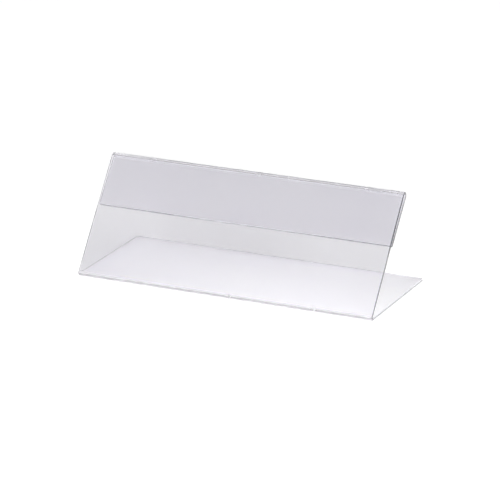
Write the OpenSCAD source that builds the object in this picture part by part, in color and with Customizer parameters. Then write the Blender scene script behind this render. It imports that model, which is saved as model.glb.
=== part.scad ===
// L-shaped table sign holder, bent from one clear plastic sheet.
// The base lies on the table, the sign panel leans back from a tight bend along
// the front edge, and at the top the sheet folds over into a flap that hangs
// behind the panel and holds the card against it.
// X runs along the width, Y to the back, Z up. The origin is on the table, in
// the middle of the footprint.

/* [Sheet] */
// Thickness of the clear sheet
sheet_t = 1.2; // [0.8:0.1:1.5]
// Width of the holder, and of the card that it shows
width = 150; // [80:1:300]
// Radius of the free corners of the sheet
corner_r = 0.8; // [0.3:0.1:3]

/* [Sign panel] */
// Height along the slope, from the table to the top of the fold
panel_h = 64.3; // [50:0.1:120]
// Lean of the panel back from upright, in degrees
lean = 37; // [15:0.1:45]

/* [Base] */
// Depth of the base, from the front of the bend to the rear edge
base_d = 62.3; // [50:0.1:120]

/* [Bends] */
// Inside radius of the front bend
bend_r = 0.3; // [0.3:0.1:2]
// Inside radius of the top fold, half the room for the card there
fold_r = 0.7; // [0.3:0.1:1.6]

/* [Rear flap] */
// Length of the flap along the slope, from the top of the fold
flap_l = 26.8; // [15:0.1:40]
// Room for the card between the panel and the flap's free edge
mouth = 0.5; // [0.3:0.1:1.2]

/* [Living hinges] */
// Relief between the front bend and the panel, taken up as the panel is pulled upright
panel_relief = 0.3; // [0.25:0.05:0.6]
// Relief between the top fold and the flap, taken up as the flap is pulled open
flap_relief = 0.45; // [0.4:0.05:0.8]

/* [Hidden] */
$fn = 96;

clear_sheet = [0.86, 0.85, 0.90, 0.5];

// outside radii of the two bends
bend_o = bend_r + sheet_t;
fold_o = fold_r + sheet_t;

// unit steps in the Y, Z plane: up the panel's slope, and out of its back
up = [sin(lean), cos(lean)];
back = [cos(lean), -sin(lean)];

// centre line of the front bend, in Y and Z
bend_c = [bend_o - base_d / 2, bend_o];

// length of the flat panel, between the tangent lines of the two bends
foot = bend_o * (1 + sin(lean)) / cos(lean);
run = panel_h - fold_o - foot;

// centre line of the top fold, in Y and Z
fold_c = bend_c + run * up + (fold_o - bend_o) * back;

// flat length of the flap, and how far it leans in towards the panel
flap_run = flap_l - fold_o;
lean_in = asin((2 * fold_r - mouth) / flap_run);

// a flat piece of the sheet, from y = a to y = b, thickness upwards from z = 0,
// with the corners at b rounded by r (square if r is 0)
module sheet(a, b, r = 0) {
    linear_extrude(sheet_t) {
        translate([-width / 2, a]) square([width, b - a - r]);
        if (r > 0) {
            translate([r - width / 2, a]) square([width - 2 * r, b - a]);
            for (side = [-1, 1])
                translate([side * (width / 2 - r), b - r]) circle(r);
        }
    }
}

// a bent strip of the sheet about a line through c, from angle a0 to angle a1
// in the Y, Z plane
module bend(c, r_in, a0, a1) {
    r_out = r_in + sheet_t;
    steps = 8;
    translate([-width / 2, c[0], c[1]])
        rotate([90, 0, 90])
            linear_extrude(width)
                intersection() {
                    difference() {
                        circle(r_out);
                        circle(r_in);
                    }
                    polygon(concat([[0, 0]], [
                        for (i = [0 : steps])
                            let (a = a0 + (a1 - a0) * i / steps)
                                2 * r_out * [cos(a), sin(a)]
                    ]));
                }
}

// flat foot on the table
module base_plate() {
    color(clear_sheet)
        sheet(bend_c[0], base_d / 2, corner_r);
}

// tight bend along the front bottom edge
module front_bend() {
    color(clear_sheet)
        bend(bend_c, bend_r, 180 - lean, 270);
}

// leaning front panel
module sign_panel() {
    color(clear_sheet)
        translate([0, bend_c[0], bend_c[1]])
            rotate([90 - lean, 0, 0])
                translate([0, 0, bend_r])
                    sheet(panel_relief, run);
}

// front half of the fold over the top edge, from the panel up to the crest
module top_fold_front() {
    color(clear_sheet)
        bend(fold_c, fold_r, 90 - lean, 180 - lean);
}

// rear half of the fold, from the crest down to the flap
module top_fold_rear() {
    color(clear_sheet)
        bend(fold_c, fold_r, -lean - lean_in, 90 - lean);
}

// flap behind the panel
module rear_flap() {
    color(clear_sheet)
        translate([0, fold_c[0], fold_c[1]])
            rotate([-90 - lean - lean_in, 0, 0])
                translate([0, 0, fold_r])
                    sheet(flap_relief, flap_run, corner_r);
}

base_plate();
front_bend();
sign_panel();
top_fold_front();
top_fold_rear();
rear_flap();
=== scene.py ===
import math

import bpy
from mathutils import Matrix, Vector


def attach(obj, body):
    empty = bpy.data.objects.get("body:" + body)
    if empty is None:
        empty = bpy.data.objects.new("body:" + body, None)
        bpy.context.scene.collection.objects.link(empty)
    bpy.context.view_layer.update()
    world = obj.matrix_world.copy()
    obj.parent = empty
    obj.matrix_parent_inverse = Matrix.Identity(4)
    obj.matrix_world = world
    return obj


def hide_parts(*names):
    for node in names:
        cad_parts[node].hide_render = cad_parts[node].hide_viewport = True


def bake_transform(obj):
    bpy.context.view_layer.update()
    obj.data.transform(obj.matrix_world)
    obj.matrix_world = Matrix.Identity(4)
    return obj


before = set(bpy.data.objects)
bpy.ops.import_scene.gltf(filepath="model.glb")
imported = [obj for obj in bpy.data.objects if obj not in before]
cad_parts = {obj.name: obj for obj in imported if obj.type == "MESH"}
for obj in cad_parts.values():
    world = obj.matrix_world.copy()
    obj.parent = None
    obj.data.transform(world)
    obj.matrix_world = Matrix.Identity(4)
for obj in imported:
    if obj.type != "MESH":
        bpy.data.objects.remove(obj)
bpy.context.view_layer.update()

MM = 0.001

# ---------------------------------------------------------------- dimensions
# The sheet's own measures, in millimetres, as the part's source states them.
SHEET_T = 1.2
WIDTH = 150.0
CORNER_R = 0.8
PANEL_H = 64.3
LEAN = math.radians(37.0)
BASE_D = 62.3
BEND_R = 0.3
FOLD_R = 0.7
FLAP_L = 26.8
MOUTH = 0.5

EDGE_R = 0.25            # softened arris of the cut edges

BEND_O = BEND_R + SHEET_T
FOLD_O = FOLD_R + SHEET_T
UP = (math.sin(LEAN), math.cos(LEAN))
BACK = (math.cos(LEAN), -math.sin(LEAN))
BEND_C = (BEND_O - BASE_D / 2, BEND_O)
RUN = PANEL_H - FOLD_O - BEND_O * (1 + math.sin(LEAN)) / math.cos(LEAN)
FOLD_C = tuple(
    BEND_C[i] + RUN * UP[i] + (FOLD_O - BEND_O) * BACK[i] for i in range(2)
)
FLAP_RUN = FLAP_L - FOLD_O
LEAN_IN = math.asin((2 * FOLD_R - MOUTH) / FLAP_RUN)
FOLD_A0 = math.pi - LEAN              # where the fold leaves the panel
FOLD_A1 = -LEAN - LEAN_IN             # where it runs into the flap
BEND_A0 = 1.5 * math.pi               # where the front bend leaves the base
BEND_A1 = math.pi - LEAN              # where it runs into the panel


# ------------------------------------------------------- the sheet's own shape
# Each stretch maps (s along the sheet, h through it: 0 inside, 1 outside) to
# (y, z) in millimetres.  Inside is the side that faces the card.
def on_base(s, h):
    return BEND_C[0] + s, SHEET_T * (1 - h)


def on_front_bend(s, h):
    a = BEND_A0 + (BEND_A1 - BEND_A0) * s
    r = BEND_R + h * SHEET_T
    return BEND_C[0] + r * math.cos(a), BEND_C[1] + r * math.sin(a)


def on_panel(s, h):
    r = BEND_R + h * SHEET_T
    return (
        BEND_C[0] + s * UP[0] - r * BACK[0],
        BEND_C[1] + s * UP[1] - r * BACK[1],
    )


def on_top_fold(s, h):
    a = FOLD_A0 + (FOLD_A1 - FOLD_A0) * s
    r = FOLD_R + h * SHEET_T
    return FOLD_C[0] + r * math.cos(a), FOLD_C[1] + r * math.sin(a)


def on_flap(s, h):
    r = FOLD_R + h * SHEET_T
    n = math.cos(FOLD_A1), math.sin(FOLD_A1)
    t = math.cos(FOLD_A1 - math.pi / 2), math.sin(FOLD_A1 - math.pi / 2)
    return FOLD_C[0] + s * t[0] + r * n[0], FOLD_C[1] + s * t[1] + r * n[1]


CLEAR, EDGE, SEAM, RIGHT, LEFT, LOWER, INSIDE = range(7)


def sheet_piece(name, place, rows, columns, free=None, inside=CLEAR):
    """One stretch of the sheet as a closed mesh.

    place(s, h) gives (y, z); rows are the values of s; free is the length at
    which the sheet ends in a cut edge with rounded corners, or None where it
    runs on into its neighbour.  inside is the finish of the face towards the card.
    The long cut edges at both ends of the width have softened arrises.
    """
    steps = 4
    # inset from the sheet's outline, and depth through the sheet, round an arris
    ring = [
        (
            EDGE_R * (1 - math.sin(k / steps * math.pi / 2)),
            EDGE_R * (1 - math.cos(k / steps * math.pi / 2)) / SHEET_T,
        )
        for k in range(steps + 1)
    ]
    rim = ring + [(0.0, 0.4)] + [(i, 1 - h) for i, h in reversed(ring)]

    def outline(inset):
        """Half width at each row, and the row itself, for an inset outline."""
        half, out = WIDTH / 2 - inset, []
        if free is None:
            return [(half, s) for s in rows]
        r = CORNER_R - inset
        end = free - inset
        turn = 8
        out = [(half, s) for s in rows if s < free - CORNER_R - 1e-9]
        for k in range(turn + 1):
            a = k / turn * math.pi / 2
            out.append((half - r + r * math.cos(a), end - r + r * math.sin(a)))
        return out

    verts, faces, kinds = [], [], []

    def add(x, s, h):
        y, z = place(s, h)
        verts.append((x * MM, y * MM, z * MM))
        return len(verts) - 1

    def quad(a, b, c, d, kind):
        faces.append((a, b, c, d))
        kinds.append(kind)

    across = [-1 + 2 * j / columns for j in range(columns + 1)]
    n_rows = len(outline(0))

    def surface(h):
        inset = rim[0][0]
        return [
            [add(t * half, s, h) for t in across] for half, s in outline(inset)
        ]

    inner, outer = surface(0.0), surface(1.0)
    for grid, flip, kind in ((inner, False, inside), (outer, True, CLEAR)):
        for i in range(n_rows - 1):
            for j in range(columns):
                q = (grid[i][j], grid[i][j + 1], grid[i + 1][j + 1], grid[i + 1][j])
                quad(*(q[::-1] if flip else q), kind)

    # the rim, ring by ring, from the inner face's border to the outer face's
    def border(grid):
        left = [grid[i][0] for i in range(n_rows)]
        right = [grid[i][-1] for i in range(n_rows)]
        if free is None:
            return [left, right]
        return [left + grid[-1][1:-1] + right[::-1]]

    def ring_verts(inset, h):
        line = outline(inset)
        left = [add(-half, s, h) for half, s in line]
        right = [add(half, s, h) for half, s in line]
        if free is None:
            return [left, right]
        half, s = line[-1]
        end = [add(t * half, s, h) for t in across[1:-1]]
        return [left + end + right[::-1]]

    rings = [border(inner)]
    for inset, h in rim[1:-1]:
        rings.append(ring_verts(inset, h))
    rings.append(border(outer))
    for level, (a, b) in enumerate(zip(rings, rings[1:])):
        for side, (la, lb) in enumerate(zip(a, b)):
            for i in range(len(la) - 1):
                q = (la[i], la[i + 1], lb[i + 1], lb[i])
                turned = free is None and side == 1
                x = [verts[k][0] for k in q]
                kind = EDGE
                if min(abs(v) for v in x) > (WIDTH / 2 - CORNER_R / 2) * MM:
                    kind = RIGHT if x[0] > 0 else LEFT
                    if kind == RIGHT and level > steps:
                        kind = LOWER
                quad(*(q[::-1] if turned else q), kind)

    # the ends that meet a neighbour
    def section(i):
        lo = [r[0][i] if free is None or i == 0 else None for r in rings]
        hi = [r[1][i] if free is None else r[0][-1] for r in rings]
        return inner[i] + hi[1:-1] + outer[i][::-1] + lo[1:-1][::-1]

    first = section(0)
    faces.append(tuple(first[::-1]))
    kinds.append(SEAM)
    if free is None:
        faces.append(tuple(section(n_rows - 1)))
        kinds.append(SEAM)

    mesh = bpy.data.meshes.new(name)
    mesh.from_pydata(verts, [], faces)
    mesh.polygons.foreach_set("material_index", kinds)
    mesh.polygons.foreach_set("use_smooth", [True] * len(faces))
    mesh.update()
    mesh.validate()
    obj = bpy.data.objects.new(name, mesh)
    bpy.context.scene.collection.objects.link(obj)
    return obj


def face_outwards(obj):
    """All normals out of the closed piece."""
    import bmesh

    bm = bmesh.new()
    bm.from_mesh(obj.data)
    bmesh.ops.recalc_face_normals(bm, faces=bm.faces)
    for e in bm.edges:
        kinds = {f.material_index for f in e.link_faces}
        # the flats stay flat right up to the softened arris
        if SEAM in kinds or (len(kinds) > 1 and kinds & {CLEAR, INSIDE}):
            e.smooth = False
    bm.to_mesh(obj.data)
    bm.free()
    obj.data.update()


def even(n, length):
    return [length * i / n for i in range(n + 1)]


base = sheet_piece("clear_base", on_base, even(40, BASE_D / 2 - BEND_C[0]), 100,
                   free=BASE_D / 2 - BEND_C[0])
bend = sheet_piece("clear_front_bend", on_front_bend, even(48, 1.0), 100)
panel = sheet_piece("clear_panel", on_panel, even(40, RUN), 100)
fold = sheet_piece("clear_top_fold", on_top_fold, even(72, 1.0), 100, inside=INSIDE)
flap = sheet_piece("clear_flap", on_flap, even(20, FLAP_RUN), 100, free=FLAP_RUN)
PIECES = (base, bend, panel, fold, flap)
for piece in PIECES:
    face_outwards(piece)


# ------------------------------------------------------------------ materials
def node(tree, kind, place, **values):
    n = tree.nodes.new(kind)
    n.location = place
    for key, value in values.items():
        setattr(n, key, value)
    return n


def ramp(tree, place, stops):
    n = node(tree, "ShaderNodeValToRGB", place)
    cr = n.color_ramp
    while len(cr.elements) < len(stops):
        cr.elements.new(0.5)
    for e, (pos, colour) in zip(cr.elements, stops):
        e.position = pos
        e.color = (*colour, 1.0)
    return n


def fresh(name):
    mat = bpy.data.materials.new(name)
    mat.use_nodes = True
    tree = mat.node_tree
    tree.nodes.clear()
    out = node(tree, "ShaderNodeOutputMaterial", (900, 0))
    return mat, tree, out


def second_tint(tree, where, colour, pattern, tints, axis, first, last, middle=None):
    """Two other tints, which take over from colour between first and last along
    the axis, counted to both sides of middle if that is given."""
    link = tree.links.new
    other = ramp(tree, (-400, 500), [(0.3, tints[0]), (0.7, tints[1])])
    split = node(tree, "ShaderNodeSeparateXYZ", (-900, 700))
    rise = node(tree, "ShaderNodeMapRange", (-400, 700), interpolation_type="SMOOTHSTEP")
    rise.inputs["From Min"].default_value = first
    rise.inputs["From Max"].default_value = last
    mix = node(tree, "ShaderNodeMix", (-100, 400), data_type="RGBA")
    link(pattern, other.inputs["Fac"])
    link(where.outputs["Object"], split.inputs["Vector"])
    along = split.outputs[axis]
    if middle is not None:
        away = node(tree, "ShaderNodeMath", (-730, 700), operation="SUBTRACT")
        away.inputs[1].default_value = middle
        size = node(tree, "ShaderNodeMath", (-560, 700), operation="ABSOLUTE")
        link(along, away.inputs[0])
        link(away.outputs["Value"], size.inputs[0])
        along = size.outputs["Value"]
    link(along, rise.inputs["Value"])
    link(rise.outputs["Result"], mix.inputs["Factor"])
    link(colour, mix.inputs["A"])
    link(other.outputs["Color"], mix.inputs["B"])
    return mix.outputs["Result"]


def clear_plastic(name, dark, light, rough_low, rough_high, haze=0.0, roll=0.04, other=None):
    """Clear rigid plastic sheet: glossy, faintly violet, with the slight
    unevenness of rolled sheet and fine rub marks.  other is a second pair of tints,
    with the axis and the range over which they take over."""
    mat, tree, out = fresh(name)
    link = tree.links.new
    where = node(tree, "ShaderNodeTexCoord", (-1100, 0))
    p = node(tree, "ShaderNodeBsdfPrincipled", (600, 0))
    p.inputs["Transmission Weight"].default_value = 1.0 - haze
    p.inputs["IOR"].default_value = 1.5

    # faint clouding of the colour
    cloud = node(tree, "ShaderNodeTexNoise", (-700, 300))
    cloud.inputs["Scale"].default_value = 22.0
    cloud.inputs["Detail"].default_value = 2.0
    tint = ramp(tree, (-400, 300), [(0.3, dark), (0.7, light)])
    link(where.outputs["Object"], cloud.inputs["Vector"])
    link(cloud.outputs["Fac"], tint.inputs["Fac"])
    colour = tint.outputs["Color"]
    if other:
        colour = second_tint(tree, where, colour, cloud.outputs["Fac"], *other)
    link(colour, p.inputs["Base Color"])

    # rubbed patches are a little less glossy
    rub = node(tree, "ShaderNodeTexNoise", (-700, 0))
    rub.inputs["Scale"].default_value = 60.0
    rub.inputs["Detail"].default_value = 5.0
    rough = node(tree, "ShaderNodeMapRange", (-400, 0))
    rough.inputs["From Min"].default_value = 0.35
    rough.inputs["From Max"].default_value = 0.75
    rough.inputs["To Min"].default_value = rough_low
    rough.inputs["To Max"].default_value = rough_high
    link(where.outputs["Object"], rub.inputs["Vector"])
    link(rub.outputs["Fac"], rough.inputs["Value"])
    link(rough.outputs["Result"], p.inputs["Roughness"])

    # gentle rolling of the surface
    wave = node(tree, "ShaderNodeTexNoise", (-700, -300))
    wave.inputs["Scale"].default_value = 45.0
    wave.inputs["Detail"].default_value = 1.0
    bump = node(tree, "ShaderNodeBump", (300, -300))
    bump.inputs["Strength"].default_value = roll
    bump.inputs["Distance"].default_value = 0.0002
    link(where.outputs["Object"], wave.inputs["Vector"])
    link(wave.outputs["Fac"], bump.inputs["Height"])
    link(bump.outputs["Normal"], p.inputs["Normal"])

    link(p.outputs["BSDF"], out.inputs["Surface"])
    return mat


def cut_edge(name, clear, dark, light, rough_low, rough_high, other=None):
    """Cut edge of the sheet: the knife leaves it partly frosted, with a fine grain.
    other is as in clear_plastic."""
    mat, tree, out = fresh(name)
    link = tree.links.new
    where = node(tree, "ShaderNodeTexCoord", (-1100, 0))
    p = node(tree, "ShaderNodeBsdfPrincipled", (600, 0))
    p.inputs["Transmission Weight"].default_value = clear
    p.inputs["IOR"].default_value = 1.5

    grain = node(tree, "ShaderNodeTexNoise", (-700, 200))
    grain.inputs["Scale"].default_value = 350.0
    grain.inputs["Detail"].default_value = 3.0
    tint = ramp(tree, (-400, 200), [(0.3, dark), (0.7, light)])
    link(where.outputs["Object"], grain.inputs["Vector"])
    link(grain.outputs["Fac"], tint.inputs["Fac"])
    colour = tint.outputs["Color"]
    if other:
        colour = second_tint(tree, where, colour, grain.outputs["Fac"], *other)
    link(colour, p.inputs["Base Color"])

    rough = node(tree, "ShaderNodeMapRange", (-400, -100))
    rough.inputs["To Min"].default_value = rough_low
    rough.inputs["To Max"].default_value = rough_high
    link(grain.outputs["Fac"], rough.inputs["Value"])
    link(rough.outputs["Result"], p.inputs["Roughness"])

    bump = node(tree, "ShaderNodeBump", (300, -300))
    bump.inputs["Strength"].default_value = 0.1
    bump.inputs["Distance"].default_value = 0.0001
    link(grain.outputs["Fac"], bump.inputs["Height"])
    link(bump.outputs["Normal"], p.inputs["Normal"])

    link(p.outputs["BSDF"], out.inputs["Surface"])
    return mat


def inside_the_sheet():
    """The plane where one stretch of the sheet runs on into the next: nothing
    is there to see, because the plastic is continuous."""
    mat, tree, out = fresh("sheet_runs_on")
    t = node(tree, "ShaderNodeBsdfTransparent", (600, 0))
    tree.links.new(t.outputs["BSDF"], out.inputs["Surface"])
    return mat


faces = clear_plastic("clear_plastic", (0.955, 0.945, 0.985), (0.968, 0.960, 0.990), 0.005, 0.03)
# the heat of bending leaves the tight bends a little hazy
heated = clear_plastic("heated_plastic", (0.94, 0.93, 0.97), (0.96, 0.95, 0.98), 0.22, 0.32,
                       roll=0.005)
# and the front bend, hazy from the heat too, has a dark line of painted shade along it just above the table
bend_painted_shade_line = clear_plastic("heated_plastic_painted_shade_line", (0.57, 0.60, 0.59), (0.65, 0.68, 0.67), 0.2, 0.3,
                            haze=0.1, roll=0.005,
                            other=(((0.965, 0.955, 0.985), (0.985, 0.975, 0.99)), "Z", 0.00025, 0.00050, 0.00110))
# the inside face of the top fold is tinted darker, as painted shade
fold_inside_painted_shade = clear_plastic("heated_plastic_inside_painted_shade", (0.70, 0.69, 0.73), (0.78, 0.77, 0.81), 0.1, 0.2,
                       roll=0.005)
runs_on = inside_the_sheet()
end_edge = cut_edge("end_edge", 0.8, (0.90, 0.80, 0.94), (0.96, 0.86, 0.98), 0.03, 0.15)
# the flap's end edge is tinted darker towards both ends of its width: painted shade
flap_end = cut_edge("flap_end_edge", 0.9, (0.76, 0.75, 0.79), (0.84, 0.83, 0.87), 0.03, 0.15,
                    other=(((0.28, 0.27, 0.31), (0.38, 0.37, 0.41)), "X", 0.015, 0.050, 0.0))
left_edge = cut_edge("left_edge", 1.0, (0.88, 0.87, 0.91), (0.94, 0.93, 0.96), 0.02, 0.12)
# the base's left edge is tinted darker towards the front, lighter towards the rear: painted shade
foot_left = cut_edge("foot_left_edge", 0.85, (0.68, 0.57, 0.73), (0.76, 0.65, 0.81), 0.02, 0.12,
                     other=(((0.92, 0.83, 0.95), (0.97, 0.88, 0.98)), "Y", 0.0, 0.022))
# the right edges of the bend and panel are tinted darker than the left ones, and nearly black higher up: painted
# shade
right_edge = cut_edge("right_edge", 1.0, (0.80, 0.79, 0.84), (0.88, 0.87, 0.91), 0.02, 0.12,
                      other=(((0.03, 0.03, 0.05), (0.07, 0.07, 0.10)), "Z", 0.022, 0.030))
# the right edges of the top fold and flap are tinted dark: painted shade
rear_right = cut_edge("rear_right_edge", 1.0, (0.30, 0.30, 0.34), (0.40, 0.40, 0.44), 0.02, 0.12)
foot_side = cut_edge("foot_side_edge", 0.5, (0.84, 0.83, 0.86), (0.92, 0.91, 0.94), 0.4, 0.6)
# the lower part of the base's right edge is tinted dark: painted contact shade where it meets the table
foot_painted_shade_line = cut_edge("foot_painted_shade_line", 0.2, (0.22, 0.22, 0.23), (0.32, 0.32, 0.33), 0.4, 0.6)
SIDES = {                # right, left and lower part of each stretch's long cut edges
    base: (foot_side, foot_left, foot_painted_shade_line),
    bend: (right_edge, left_edge, right_edge),
    panel: (right_edge, left_edge, right_edge),
    fold: (rear_right, left_edge, rear_right),
    flap: (rear_right, left_edge, rear_right),
}
for piece in PIECES:
    for mat in (
        {fold: heated, bend: bend_painted_shade_line}.get(piece, faces),
        flap_end if piece is flap else end_edge,
        runs_on,
        *SIDES[piece],
    ):
        piece.data.materials.append(mat)
fold.data.materials.append(fold_inside_painted_shade)

# ------------------------------------------------------- what each piece rides on
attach(base, "base")
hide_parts("base_plate")
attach(panel, "panel")
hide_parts("sign_panel")
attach(flap, "flap")
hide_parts("rear_flap")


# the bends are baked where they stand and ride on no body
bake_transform(bend)
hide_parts("front_bend")
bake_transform(fold)
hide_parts("top_fold_front", "top_fold_rear")


# ---------------------------------------------------------------------- stage
def floor():
    mesh = bpy.data.meshes.new("floor")
    s, z = 6.0, -0.0001
    mesh.from_pydata([(-s, -s, z), (s, -s, z), (s, s, z), (-s, s, z)], [], [(0, 1, 2, 3)])
    obj = bpy.data.objects.new("floor", mesh)
    bpy.context.scene.collection.objects.link(obj)
    mat, tree, out = fresh("pale_floor")
    mat.cycles.emission_sampling = "NONE"
    p = node(tree, "ShaderNodeBsdfPrincipled", (600, 0))
    p.inputs["Roughness"].default_value = 1.0
    p.inputs["Specular IOR Level"].default_value = 0.0
    p.inputs["Emission Color"].default_value = (1.0, 1.0, 1.0, 1.0)
    # a seamless paper sweep: faint fibres, hardly any colour variation
    where = node(tree, "ShaderNodeTexCoord", (-700, 0))
    fibre = node(tree, "ShaderNodeTexNoise", (-450, 0))
    fibre.inputs["Scale"].default_value = 40.0
    fibre.inputs["Detail"].default_value = 4.0
    shade = ramp(tree, (-150, 0), [(0.3, (0.793, 0.793, 0.793)), (0.7, (0.807, 0.807, 0.807))])
    # far off, the sweep runs out into plain white
    far = node(tree, "ShaderNodeVectorMath", (-450, -300), operation="LENGTH")
    lift = node(tree, "ShaderNodeMapRange", (-150, -300), interpolation_type="SMOOTHSTEP")
    lift.inputs["From Min"].default_value = 0.8
    lift.inputs["From Max"].default_value = 2.5
    lift.inputs["To Min"].default_value = 0.19
    lift.inputs["To Max"].default_value = 0.62
    tree.links.new(where.outputs["Object"], far.inputs[0])
    tree.links.new(far.outputs["Value"], lift.inputs["Value"])
    tree.links.new(lift.outputs["Result"], p.inputs["Emission Strength"])
    tree.links.new(where.outputs["Object"], fibre.inputs["Vector"])
    tree.links.new(fibre.outputs["Fac"], shade.inputs["Fac"])
    tree.links.new(shade.outputs["Color"], p.inputs["Base Color"])
    tree.links.new(p.outputs["BSDF"], out.inputs["Surface"])
    mesh.materials.append(mat)
    return obj


floor()

# --------------------------------------------------------------------- camera
AZ, EL, DIST = math.radians(24.907), math.radians(18.303), 1.4381
K_PX = 2.1360                         # pixels per millimetre at the target
back = Vector((math.sin(AZ) * math.cos(EL), -math.cos(AZ) * math.cos(EL), math.sin(EL)))
right = Vector((math.cos(AZ), math.sin(AZ), 0.0))
up = back.cross(right)
target = Vector((0.0, -0.00015, 0.022))
focal_px = K_PX * DIST * 1000.0
cam_data = bpy.data.cameras.new("camera")
cam_data.sensor_width = 36.0
cam_data.lens = focal_px / 500.0 * 36.0
cam_data.clip_start = 0.05
cam_data.clip_end = 50.0
cam = bpy.data.objects.new("camera", cam_data)
bpy.context.scene.collection.objects.link(cam)
eye = target + back * DIST
# the target shows 16 pixels above the middle of the frame
aim = target + right * ((250.0 - 250.16) / (K_PX * 1000)) + up * ((233.97 - 250.0) / (K_PX * 1000))
ahead = (aim - eye).normalized()
side = ahead.cross(Vector((0, 0, 1))).normalized()
above = side.cross(ahead)
cam.matrix_world = Matrix((
    (side.x, above.x, -ahead.x, eye.x),
    (side.y, above.y, -ahead.y, eye.y),
    (side.z, above.z, -ahead.z, eye.z),
    (0, 0, 0, 1),
))
bpy.context.scene.camera = cam

# ---------------------------------------------------------------------- light
scene = bpy.context.scene
world = bpy.data.worlds.new("studio")
scene.world = world
world.use_nodes = True
wt = world.node_tree
wt.nodes.clear()
w_out = node(wt, "ShaderNodeOutputWorld", (800, 0))
w_bg = node(wt, "ShaderNodeBackground", (500, 0))
w_where = node(wt, "ShaderNodeTexCoord", (-600, 0))
w_split = node(wt, "ShaderNodeSeparateXYZ", (-300, 0))
w_ramp = ramp(wt, (0, 0), [
    (0.00, (1.0, 1.0, 1.0)),
    (0.38, (1.0, 1.0, 1.0)),
    (0.62, (0.25, 0.25, 0.26)),
    (0.78, (0.25, 0.25, 0.26)),
    (0.88, (0.5, 0.5, 0.5)),
    (1.00, (0.5, 0.5, 0.5)),
])
wt.links.new(w_where.outputs["Generated"], w_split.inputs["Vector"])
wt.links.new(w_split.outputs["Z"], w_ramp.inputs["Fac"])
wt.links.new(w_ramp.outputs["Color"], w_bg.inputs["Color"])
w_bg.inputs["Strength"].default_value = 1.0
wt.links.new(w_bg.outputs["Background"], w_out.inputs["Surface"])


def lamp_at_camera():
    data = bpy.data.lights.new("front_fill", "POINT")
    data.shadow_soft_size = 0.03
    data.use_nodes = True
    tree = data.node_tree
    tree.nodes.clear()
    out = tree.nodes.new("ShaderNodeOutputLight")
    em = tree.nodes.new("ShaderNodeEmission")
    fall = tree.nodes.new("ShaderNodeLightFalloff")
    fall.inputs["Strength"].default_value = 1.0
    tree.links.new(fall.outputs["Constant"], em.inputs["Strength"])
    tree.links.new(em.outputs["Emission"], out.inputs["Surface"])
    data.energy = 72.0
    obj = bpy.data.objects.new("front_fill", data)
    obj.location = eye
    scene.collection.objects.link(obj)
    return obj


lamp_at_camera()


def soft_box():
    """A soft box above the camera, which lays the holder's soft shadow behind it."""
    data = bpy.data.lights.new("soft_box", "AREA")
    data.shape = "RECTANGLE"
    data.size = 2.0
    data.size_y = 0.3
    data.energy = 4.2
    obj = bpy.data.objects.new("soft_box", data)
    az, el, far = math.radians(34.0), math.radians(45.0), 0.9
    way = Vector((math.sin(az) * math.cos(el), -math.cos(az) * math.cos(el), math.sin(el)))
    obj.matrix_world = Matrix.Translation(way * far) @ way.to_track_quat("Z", "Y").to_matrix().to_4x4()
    scene.collection.objects.link(obj)
    obj.visible_glossy = False
    obj.visible_transmission = False


soft_box()


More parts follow.
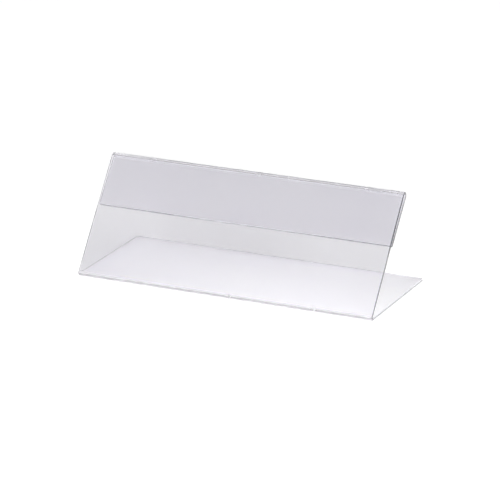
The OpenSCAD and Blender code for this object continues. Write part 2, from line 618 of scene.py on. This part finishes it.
def front_card():
    """A soft light card in front and above, seen only as the sheen on the panel.
    It is brighter low down, and a little towards the left and the right."""
    ahead = Vector((-0.3998, -0.5392, 0.7412)).normalized()
    along = Vector((0.9165, -0.2424, 0.3181))
    along = (along - ahead * along.dot(ahead)).normalized()
    rise = ahead.cross(along)
    mesh = bpy.data.meshes.new("front_card")
    mesh.from_pydata([(-0.25, -0.1, 0), (0.25, -0.1, 0), (0.25, 0.14, 0), (-0.25, 0.14, 0)],
                     [], [(0, 1, 2, 3)])
    obj = bpy.data.objects.new("front_card", mesh)
    centre = Vector((0.0, 0.0, 0.025)) + ahead
    obj.matrix_world = Matrix((
        (along.x, rise.x, ahead.x, centre.x),
        (along.y, rise.y, ahead.y, centre.y),
        (along.z, rise.z, ahead.z, centre.z),
        (0, 0, 0, 1),
    ))
    scene.collection.objects.link(obj)
    mat, tree, out = fresh("front_card_light")
    mat.cycles.emission_sampling = "NONE"
    link = tree.links.new
    where = node(tree, "ShaderNodeTexCoord", (-900, 0))
    split = node(tree, "ShaderNodeSeparateXYZ", (-700, 0))
    low = node(tree, "ShaderNodeMapRange", (-450, 250), interpolation_type="SMOOTHSTEP")
    low.inputs["From Min"].default_value = -0.0285
    low.inputs["From Max"].default_value = -0.0205
    low.inputs["To Min"].default_value = 2.2
    low.inputs["To Max"].default_value = 0.0
    # the extra glow ends along a slanting line at the left
    slant = node(tree, "ShaderNodeMath", (-600, 0), operation="MULTIPLY_ADD")
    slant.inputs[1].default_value = -1.41
    stop = node(tree, "ShaderNodeMapRange", (-450, 0), interpolation_type="SMOOTHSTEP")
    stop.inputs["From Min"].default_value = -0.044
    stop.inputs["From Max"].default_value = -0.032
    stop.inputs["To Min"].default_value = 0.0
    stop.inputs["To Max"].default_value = 1.0
    # and is weaker towards the left end
    wane = node(tree, "ShaderNodeMapRange", (-450, 500), interpolation_type="SMOOTHSTEP")
    wane.inputs["From Min"].default_value = -0.125
    wane.inputs["From Max"].default_value = -0.078
    wane.inputs["To Min"].default_value = 0.5
    wane.inputs["To Max"].default_value = 1.0
    ends = node(tree, "ShaderNodeMath", (-300, 50), operation="MULTIPLY")
    part = node(tree, "ShaderNodeMath", (-200, 100), operation="MULTIPLY_ADD")
    part.inputs[2].default_value = 0.84
    left = node(tree, "ShaderNodeMapRange", (-450, -250), interpolation_type="SMOOTHSTEP")
    left.inputs["From Min"].default_value = -0.12
    left.inputs["From Max"].default_value = 0.0
    left.inputs["To Min"].default_value = 0.5
    left.inputs["To Max"].default_value = 0.0
    # the single sheet below the flap is brighter at both ends than in the middle
    right = node(tree, "ShaderNodeMapRange", (-450, -500), interpolation_type="SMOOTHSTEP")
    right.inputs["From Min"].default_value = 0.015
    right.inputs["From Max"].default_value = 0.080
    right.inputs["To Min"].default_value = -0.25
    right.inputs["To Max"].default_value = 0.85
    far_left = node(tree, "ShaderNodeMapRange", (-450, -1250), interpolation_type="SMOOTHSTEP")
    far_left.inputs["From Min"].default_value = -0.070
    far_left.inputs["From Max"].default_value = -0.052
    far_left.inputs["To Min"].default_value = 0.5
    far_left.inputs["To Max"].default_value = 0.0
    pair = node(tree, "ShaderNodeMath", (-200, -500), operation="ADD")
    floor_of = node(tree, "ShaderNodeMapRange", (-450, -750), interpolation_type="SMOOTHSTEP")
    floor_of.inputs["From Min"].default_value = -0.045
    floor_of.inputs["From Max"].default_value = -0.022
    roof_of = node(tree, "ShaderNodeMapRange", (-450, -1000), interpolation_type="SMOOTHSTEP")
    roof_of.inputs["From Min"].default_value = -0.003
    roof_of.inputs["From Max"].default_value = 0.005
    roof_of.inputs["To Min"].default_value = 1.0
    roof_of.inputs["To Max"].default_value = 0.0
    window = node(tree, "ShaderNodeMath", (-200, -800), operation="MULTIPLY")
    band = node(tree, "ShaderNodeMath", (0, -300), operation="MULTIPLY_ADD")
    both = node(tree, "ShaderNodeMath", (200, 0), operation="ADD")
    glow = node(tree, "ShaderNodeEmission", (600, 0))
    link(where.outputs["Object"], split.inputs["Vector"])
    link(split.outputs["Y"], low.inputs["Value"])
    link(split.outputs["X"], left.inputs["Value"])
    link(split.outputs["Y"], slant.inputs[0])
    link(split.outputs["X"], slant.inputs[2])
    link(slant.outputs["Value"], stop.inputs["Value"])
    link(low.outputs["Result"], part.inputs[0])
    link(split.outputs["X"], wane.inputs["Value"])
    link(stop.outputs["Result"], ends.inputs[0])
    link(wane.outputs["Result"], ends.inputs[1])
    link(ends.outputs["Value"], part.inputs[1])
    link(part.outputs["Value"], both.inputs[0])
    link(split.outputs["X"], right.inputs["Value"])
    link(split.outputs["Y"], floor_of.inputs["Value"])
    link(split.outputs["Y"], roof_of.inputs["Value"])
    link(floor_of.outputs["Result"], window.inputs[0])
    link(roof_of.outputs["Result"], window.inputs[1])
    link(split.outputs["X"], far_left.inputs["Value"])
    link(right.outputs["Result"], pair.inputs[0])
    link(far_left.outputs["Result"], pair.inputs[1])
    link(pair.outputs["Value"], band.inputs[0])
    link(window.outputs["Value"], band.inputs[1])
    link(left.outputs["Result"], band.inputs[2])
    link(band.outputs["Value"], both.inputs[1])
    link(both.outputs["Value"], glow.inputs["Strength"])
    link(glow.outputs["Emission"], out.inputs["Surface"])
    mesh.materials.append(mat)
    only_in_reflections(obj)


def only_in_reflections(obj):
    obj.visible_camera = False
    obj.visible_diffuse = False
    obj.visible_transmission = False
    obj.visible_volume_scatter = False
    obj.visible_shadow = False


front_card()


def soft_spot():
    """A broad soft patch of light behind the holder, seen only as the sheen that
    it leaves on the base."""
    mesh = bpy.data.meshes.new("soft_spot")
    mesh.from_pydata([(-0.25, 0, -0.06), (0.25, 0, -0.06), (0.25, 0, 0.06), (-0.25, 0, 0.06)],
                     [], [(0, 1, 2, 3)])
    obj = bpy.data.objects.new("soft_spot", mesh)
    obj.location = (-0.1223, 0.375, 0.1635)
    scene.collection.objects.link(obj)
    mat, tree, out = fresh("soft_spot_light")
    mat.cycles.emission_sampling = "NONE"
    where = node(tree, "ShaderNodeTexCoord", (-900, 0))
    place = node(tree, "ShaderNodeMapping", (-700, 0))
    place.inputs["Scale"].default_value = (4.3, 21.7, 21.7)
    fade = node(tree, "ShaderNodeTexGradient", (-450, 0), gradient_type="SPHERICAL")
    glow = node(tree, "ShaderNodeEmission", (-100, 0))
    power = node(tree, "ShaderNodeMath", (-280, -100), operation="MULTIPLY")
    power.inputs[1].default_value = 2.15
    clear = node(tree, "ShaderNodeBsdfTransparent", (-100, -200))
    both = node(tree, "ShaderNodeAddShader", (200, 0))
    link = tree.links.new
    link(where.outputs["Object"], place.inputs["Vector"])
    link(place.outputs["Vector"], fade.inputs["Vector"])
    link(fade.outputs["Fac"], power.inputs[0])
    link(power.outputs["Value"], glow.inputs["Strength"])
    link(glow.outputs["Emission"], both.inputs[0])
    link(clear.outputs["BSDF"], both.inputs[1])
    link(both.outputs["Shader"], out.inputs["Surface"])
    mesh.materials.append(mat)
    only_in_reflections(obj)


soft_spot()

scene.view_settings.view_transform = "Standard"
scene.view_settings.look = "None"
scene.cycles.max_bounces = 48
scene.cycles.transmission_bounces = 48
scene.cycles.glossy_bounces = 48
scene.cycles.transparent_max_bounces = 64
